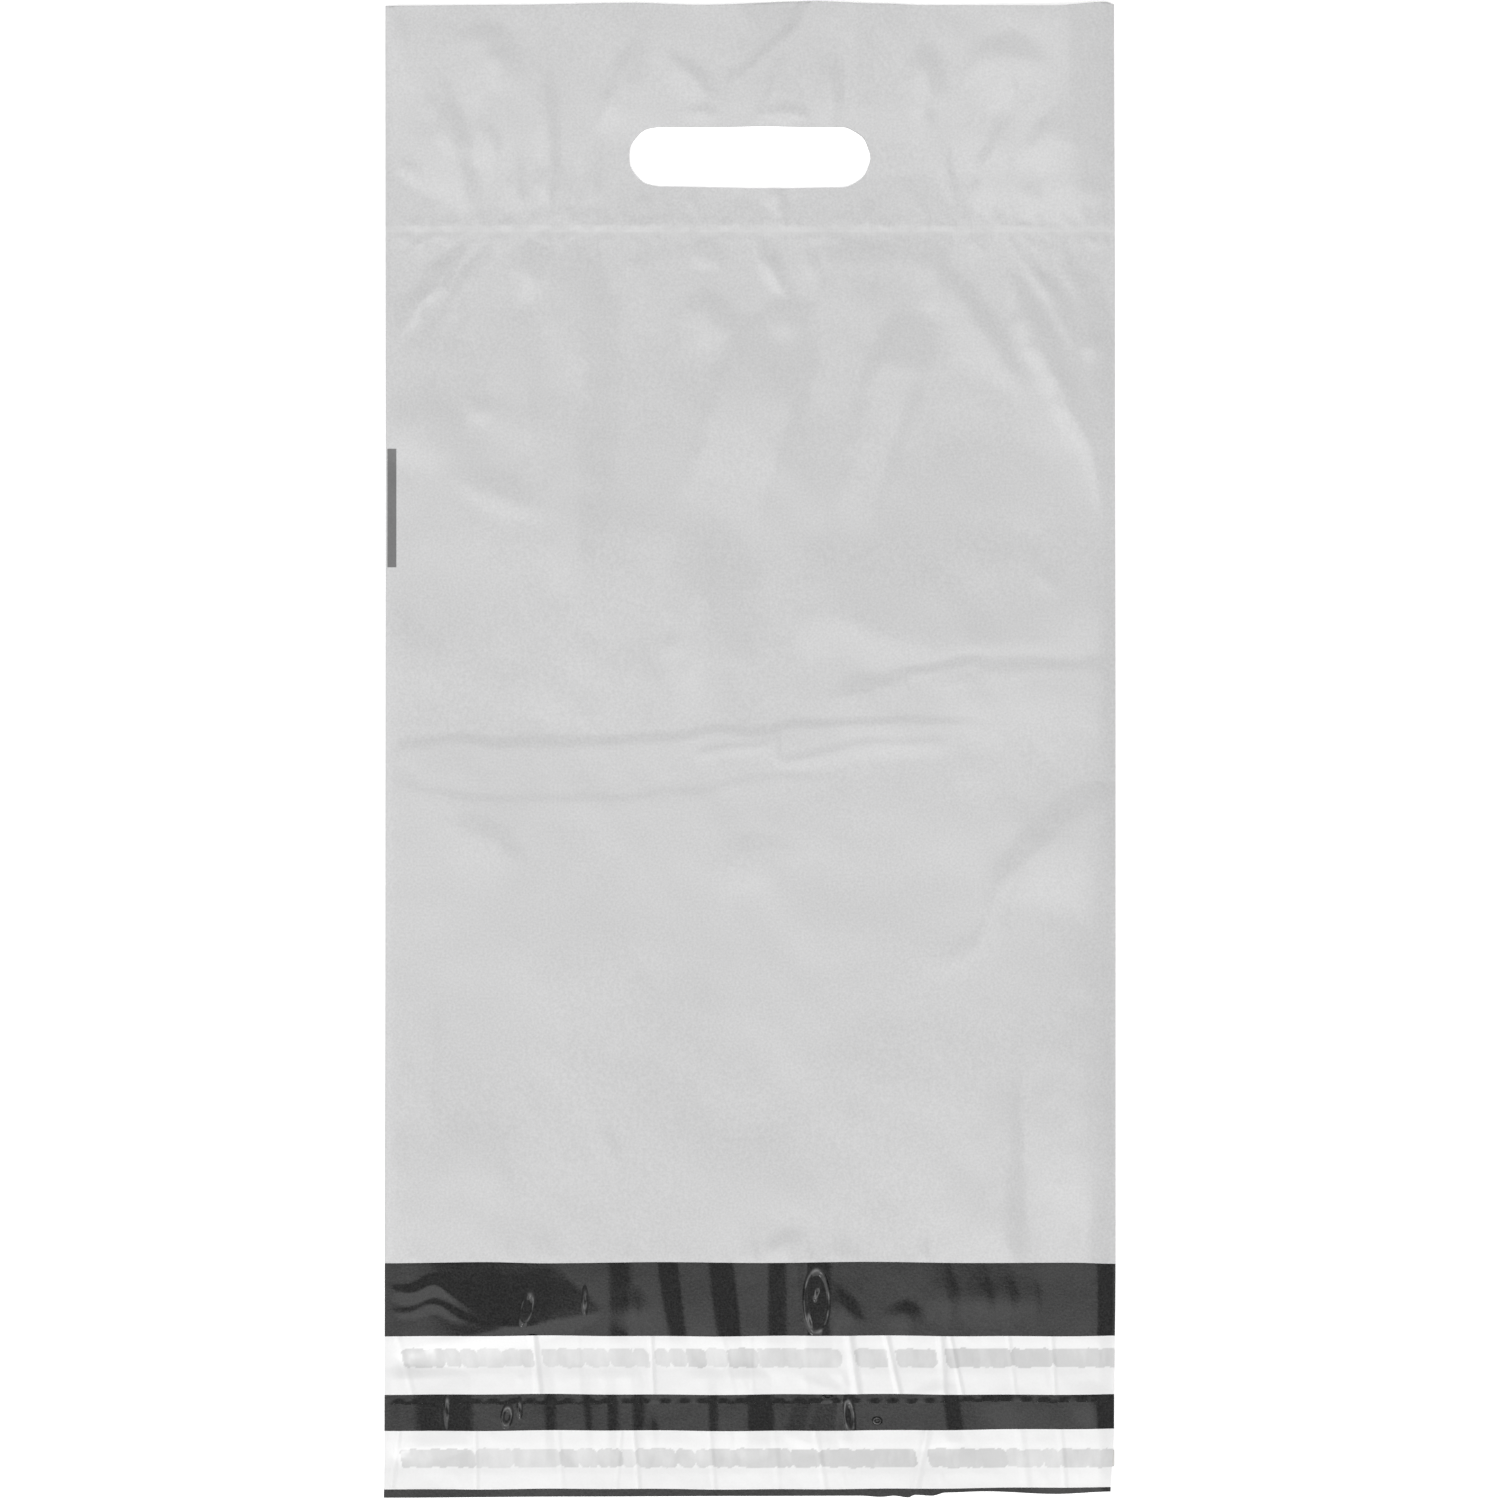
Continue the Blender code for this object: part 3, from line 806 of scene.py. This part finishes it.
def silver_film():
    """Silver-grey outside of the film: fine grain, faint clouds, a bright weld line, the eye mark."""
    finish = Finish("silver_film", 0.17)
    grain = finish.remap(finish.noise(1300, 3), 0.93, 1.07)
    clouds = finish.remap(finish.noise(18, 5), 0.972, 1.022)
    colour = finish.scaled(SILVER, finish.maths("MULTIPLY", grain, clouds))
    y, x = finish.axis("Y"), finish.axis("X")
    from_weld = finish.maths("ABSOLUTE", finish.maths("SUBTRACT", y, WELD * MM))
    line = finish.remap(from_weld, 1.0, 0.0, 0.2 * MM, 0.9 * MM)
    line = finish.maths("MULTIPLY", line, finish.remap(finish.noise(300, 3), 0.3, 1.0))
    band = finish.remap(from_weld, 0.35, 0.0, 1.2 * MM, 2.4 * MM)
    colour = finish.mix(finish.maths("MAXIMUM", line, band), colour, WELD_GREY)
    (left, low), (right, high) = EYE_MARK
    across, along = finish.between(x, left * MM, right * MM), finish.between(y, low * MM, high * MM)
    mark = finish.maths("MULTIPLY", across, along)
    colour = finish.mix(mark, colour, finish.scaled(INK, grain))
    finish.link(colour, finish.shader.inputs["Base Color"])
    finish.link(finish.remap(finish.noise(60, 4), 0.10, 0.15), finish.shader.inputs["Roughness"])
    by_weld = finish.remap(from_weld, 1.0, 0.0, 2 * MM, 9 * MM)
    wrinkles = finish.maths("MULTIPLY", finish.noise(700, 3, (1, 0.12, 1)), by_weld)
    finish.bump(finish.bump(None, wrinkles, 0.00006), finish.noise(900, 3), 0.000004)
    return finish.material


def black_film():
    """Glossy black inside of the film, with a painted highlight along its sharpest kinks."""
    finish = Finish("black_film", 0.08)
    finish.link(finish.remap(finish.noise(300, 3), 0.06, 0.13), finish.shader.inputs["Roughness"])
    x, y = finish.axis("X"), finish.axis("Y")
    kinks = 0.0
    for middle, radii, lean in GLINTS:
        kinks = finish.maths("MAXIMUM", kinks, finish.rim(x, y, middle, radii, lean))
    grain = finish.remap(finish.noise(1500, 3), 0.0, 2.2)
    broken = finish.remap(finish.noise(260, 2), 0, 1, 0.4, 0.65)
    # Painted highlight on the kink ridges, broken up by noise
    painted_glint = finish.maths("MULTIPLY", finish.maths("POWER", kinks, 4), broken)
    colour = finish.mix(painted_glint, finish.scaled(BLACK, grain), PAINTED_HIGHLIGHT_GREY)
    finish.link(colour, finish.shader.inputs["Base Color"])
    finish.bump(finish.bump(None, kinks, 0.0006), finish.noise(1100, 3), 0.00002)
    return finish.material


def liner_film():
    """White release film, greyer where the adhesive wets it."""
    finish = Finish("liner_film", 0.2)
    wet = finish.tree.nodes.new("ShaderNodeAttribute")
    wet.attribute_name = "wet"
    grain = finish.remap(finish.noise(1300, 3), 0.985, 1.015)
    streaks = finish.remap(finish.noise(220, 4, (1, 0.35, 1)), 0.68, 1.22)
    share = finish.maths("MULTIPLY", wet.outputs["Fac"], streaks)
    colour = finish.mix(share, LINER_WHITE, LINER_WETTED)
    finish.link(finish.scaled(colour, grain), finish.shader.inputs["Base Color"])
    finish.link(finish.remap(finish.noise(120, 3), 0.14, 0.24), finish.shader.inputs["Roughness"])
    finish.bump(None, finish.noise(500, 3), 0.000006)
    return finish.material


def adhesive():
    """Clear, tacky hot melt."""
    finish = Finish("hot_melt", 0.3)
    grain = finish.remap(finish.noise(400, 3), 0.9, 1.05)
    finish.link(finish.scaled(MELT, grain), finish.shader.inputs["Base Color"])
    finish.bump(None, finish.noise(500, 3), 0.00003)
    return finish.material


def floor_finish():
    """White floor that glows faintly, as a light table does, so that nothing on it has a dark outline."""
    finish = Finish("floor", 0.95)
    cloud = finish.remap(finish.noise(6, 3), 0.99, 1.0)
    finish.link(finish.scaled(FLOOR_WHITE, cloud), finish.shader.inputs["Base Color"])
    finish.shader.inputs["Specular IOR Level"].default_value = 0.1
    finish.shader.inputs["Emission Color"].default_value = (1, 1, 1, 1)
    finish.shader.inputs["Emission Strength"].default_value = 0.35
    return finish.material


def light_tent():
    """Soft studio light: a white tent, brighter below and to the left of the picture."""
    world = bpy.data.worlds.new("tent")
    bpy.context.scene.world = world
    world.use_nodes = True
    nodes, links = world.node_tree.nodes, world.node_tree.links
    place = nodes.new("ShaderNodeTexCoord")
    toward = nodes.new("ShaderNodeVectorMath")
    toward.operation = "DOT_PRODUCT"
    toward.inputs[1].default_value = (*LIGHT, 0)
    links.new(place.outputs["Generated"], toward.inputs[0])
    axes = nodes.new("ShaderNodeSeparateXYZ")
    links.new(place.outputs["Generated"], axes.inputs["Vector"])
    sideways = nodes.new("ShaderNodeMath")
    sideways.operation = "ABSOLUTE"
    links.new(axes.outputs["X"], sideways.inputs[0])
    both = nodes.new("ShaderNodeMath")
    both.operation = "MULTIPLY_ADD"
    both.inputs[1].default_value = -SIDE_LOSS
    links.new(sideways.outputs["Value"], both.inputs[0])
    links.new(toward.outputs["Value"], both.inputs[2])
    level = nodes.new("ShaderNodeMapRange")
    level.inputs["From Min"].default_value = -1
    level.inputs["From Max"].default_value = 1
    links.new(both.outputs["Value"], level.inputs["Value"])
    panels = nodes.new("ShaderNodeValToRGB")
    links.new(level.outputs["Result"], panels.inputs["Fac"])
    ramp = panels.color_ramp
    while len(ramp.elements) < len(LIGHT_LEVELS):
        ramp.elements.new(0.5)
    for element, (position, radiance) in zip(ramp.elements, LIGHT_LEVELS):
        element.position = position
        element.color = (radiance / 2, radiance / 2, radiance / 2, 1)
    links.new(panels.outputs["Color"], nodes["Background"].inputs["Color"])
    nodes["Background"].inputs["Strength"].default_value = 2.0


def lamp():
    """A small soft lamp that glints on the sharpest wrinkles."""
    light = bpy.data.lights.new("lamp", "AREA")
    light.size = 0.35
    light.energy = 4.5
    item = bpy.data.objects.new("lamp", light)
    bpy.context.scene.collection.objects.link(item)
    item.location = (-0.72, -1.43, 1.9)
    item.rotation_euler = (-item.location).to_track_quat("-Z", "Y").to_euler()


def camera():
    """Looks straight down, with the handle end at the top of the picture."""
    lens = bpy.data.cameras.new("camera")
    item = bpy.data.objects.new("camera", lens)
    bpy.context.scene.collection.objects.link(item)
    distance, view_width = 8.0, 0.5133
    item.location = (0, 0, distance)
    lens.sensor_width = 36
    lens.lens = lens.sensor_width * distance / view_width
    bpy.context.scene.camera = item


def stage():
    """Floor, light and camera."""
    bpy.ops.mesh.primitive_plane_add(size=12, location=(0, 0, -0.0003))
    floor = bpy.context.object
    floor.name = "floor"
    floor.data.materials.append(floor_finish())
    light_tent()
    lamp()
    camera()
    bpy.context.scene.view_settings.view_transform = "Standard"


def dress(piece, slot, *nodes):
    """Puts a piece on the root body and hides the CAD nodes it replaces; slot, what the piece stands for,
    is not used.
    """
    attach(piece, "root")
    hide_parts(*nodes)
    return piece


stage()
silver, black, white, glue = silver_film(), black_film(), liner_film(), adhesive()
front = dress(front_panel([silver, black]), "film", "bag_film")
back = dress(back_panel([black, silver]), "film", "bag_film")
for closure in ("send", "return"):
    strip = dress(bead(closure, glue), "adhesive", "adhesive_" + closure)
    cover = dress(liner(closure, white), "release_liner", "release_liner_" + closure)
